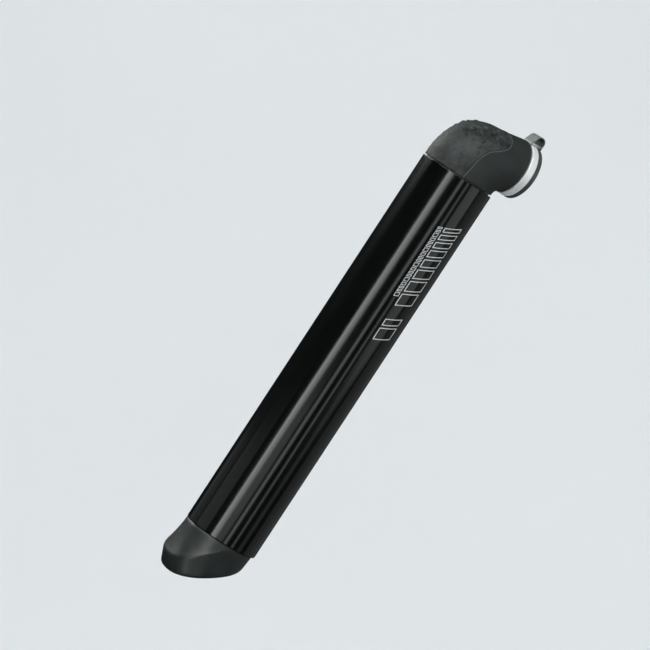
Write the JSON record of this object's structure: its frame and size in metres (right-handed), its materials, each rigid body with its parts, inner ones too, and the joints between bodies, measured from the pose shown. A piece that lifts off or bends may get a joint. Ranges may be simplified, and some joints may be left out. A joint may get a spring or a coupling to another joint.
{
  "type": "bicycle mini pump",
  "caption": "Hand-held bicycle mini pump: a gloss black sleeve slides over an inner barrel, with an angled valve head, silver chuck collar, tethered dust cap and slanted palm foot.",
  "frame": {"origin": "the middle of the outer sleeve's length, on the pump's axis, where a carrier's strap or clip grips it", "axes": "+Z along the pump's axis towards the head, +X the way the valve outlet points, the foot's toe towards -X"},
  "size_m": [0.0354, 0.0266, 0.1885],
  "materials": {
    "black_anodised": "gloss black anodised",
    "inner_plastic": "moulded, satin",
    "foot_plastic": "satin black moulding",
    "rod_aluminium": "drawn, polished",
    "spring_steel": "bright steel",
    "screw_steel": "zinc plated",
    "seal_rubber": "smooth moulded rubber",
    "barrel_aluminium": "drawn, polished",
    "head_plastic": "fine matt moulding",
    "grip_rubber": "matt soft-touch overmould with raised dots",
    "pin_plastic": "natural moulding",
    "collar_aluminium": "turned, satin silver",
    "cap_rubber": "matt moulded rubber"
  },
  "bodies": {
    "handle": {"outer_sleeve": "black_anodised", "sleeve_bush": "inner_plastic", "palm_foot": "foot_plastic", "foot_core": "inner_plastic"},
    "rod": {"piston_rod": "rod_aluminium", "retaining_clip": "spring_steel", "rod_washer": "screw_steel", "rod_screw": "screw_steel", "piston_bumper": "seal_rubber", "piston": "inner_plastic", "piston_seal": "seal_rubber", "piston_washer": "screw_steel", "piston_screw": "screw_steel"},
    "barrel": {"inner_barrel": "barrel_aluminium", "rod_gland": "inner_plastic", "rod_wiper": "seal_rubber", "stop_ring": "seal_rubber", "valve_plug": "inner_plastic", "barrel_oring": "seal_rubber", "check_spring": "spring_steel", "head_body": "head_plastic", "head_grip": "grip_rubber", "pin_depressor": "pin_plastic", "gasket_washer": "pin_plastic", "valve_gasket": "seal_rubber", "chuck_collar": "collar_aluminium", "tether": "cap_rubber"},
    "cap": {"dust_cap": "cap_rubber"},
    "ball": {"check_ball": "spring_steel"}
  },
  "joints": [
    {"name": "handle_spin", "type": "hinge", "parent": "handle", "child": "rod", "pos_m": [0, 0, -0.0665], "axis": [0, 0, 1], "continuous": true},
    {"name": "pump_stroke", "type": "slide", "parent": "rod", "child": "barrel", "axis": [0, 0, 1], "range_m": [0, 0.106]},
    {"name": "cap_swing", "type": "hinge", "parent": "barrel", "child": "cap", "pos_m": [0.0183, 0, 0.0978], "axis": [0, -1, 0], "range_deg": [0, 160], "deforming": ["tether"]},
    {"name": "check_lift", "type": "slide", "parent": "barrel", "child": "ball", "axis": [0, 0, 1], "range_m": [0, 0.0008], "stiffness_N_per_m": 40, "springref_m": -0.002, "deforming": ["check_spring"]}
  ]
}
